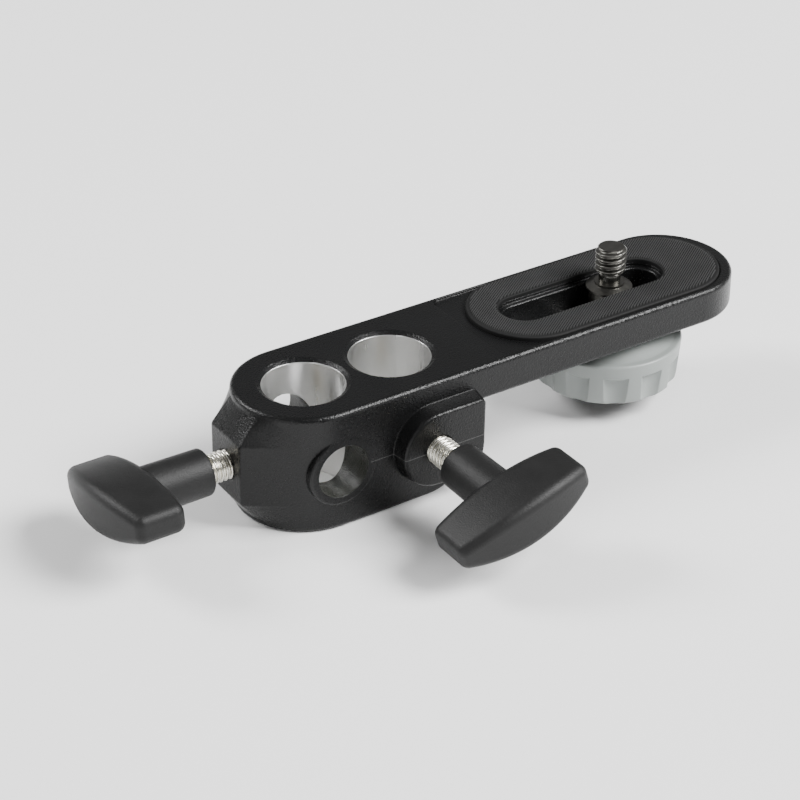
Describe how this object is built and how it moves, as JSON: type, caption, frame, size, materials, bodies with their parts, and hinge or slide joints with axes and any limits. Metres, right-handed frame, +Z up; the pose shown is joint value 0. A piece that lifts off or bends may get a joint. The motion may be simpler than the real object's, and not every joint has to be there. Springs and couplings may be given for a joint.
{
  "type": "camera and umbrella bracket",
  "caption": "Die-cast bracket with spigot sockets and an umbrella hole held by T-knob clamps, and a slotted, padded arm whose sliding camera screw is locked by a knob underneath.",
  "frame": {"origin": "axis of the first spigot socket (the one crossed by the umbrella hole) on the block's underside", "axes": "+X along the arm towards the camera screw, +Z up through the sockets and out of the camera screw's top, -Y towards the side clamp"},
  "size_m": [0.1475, 0.0637, 0.0333],
  "materials": {
    "casting": "semi-gloss fine texture",
    "pad_rubber": "finely ribbed",
    "knob_nylon": "fine moulded grain",
    "plated_steel": "bright plated",
    "dark_steel": "black oxide",
    "tip_brass": "turned",
    "grey_plastic": "satin",
    "black_plastic": "satin"
  },
  "bodies": {
    "bracket": {"bracket_body": "casting", "grip_pad": "pad_rubber"},
    "side_tip": {"side_clamp_tip": "tip_brass"},
    "side_clamp": {"side_clamp_knob": "knob_nylon", "side_clamp_screw": "plated_steel"},
    "end_tip": {"end_clamp_tip": "tip_brass"},
    "end_clamp": {"end_clamp_knob": "knob_nylon", "end_clamp_screw": "plated_steel"},
    "slider": {"slider_bush": "dark_steel", "slider_washer": "plated_steel"},
    "spindle": {"camera_screw": "dark_steel", "retaining_ring": "dark_steel", "wave_washer": "plated_steel", "camera_knob": "grey_plastic", "knob_insert": "tip_brass", "knob_cap": "black_plastic"}
  },
  "joints": [
    {"name": "side_clamp_advance", "type": "slide", "parent": "bracket", "child": "side_tip", "axis": [0, 1, 0], "range_m": [-0.00501, 0.00611]},
    {"name": "side_clamp_turn", "type": "hinge", "parent": "side_tip", "child": "side_clamp", "pos_m": [0.0195, -0.0241, 0.0126], "axis": [0, 1, 0], "range_deg": [-1800, 2196]},
    {"name": "end_clamp_advance", "type": "slide", "parent": "bracket", "child": "end_tip", "axis": [1, 0, 0], "range_m": [-0.00501, 0.00431]},
    {"name": "end_clamp_turn", "type": "hinge", "parent": "end_tip", "child": "end_clamp", "pos_m": [-0.02185, 0, 0.0126], "axis": [1, 0, 0], "range_deg": [-1800, 1548]},
    {"name": "slider_travel", "type": "slide", "parent": "bracket", "child": "slider", "axis": [1, 0, 0], "range_m": [-0.0215, 0.0073]},
    {"name": "camera_knob_turn", "type": "hinge", "parent": "slider", "child": "spindle", "pos_m": [0.07325, 0, 0.01], "axis": [0, 0, 1], "continuous": true}
  ],
  "couplings": [
    {"joint": "side_clamp_advance", "follows": "side_clamp_turn", "m_per_rad": 0.00015915},
    {"joint": "end_clamp_advance", "follows": "end_clamp_turn", "m_per_rad": 0.00015915}
  ]
}
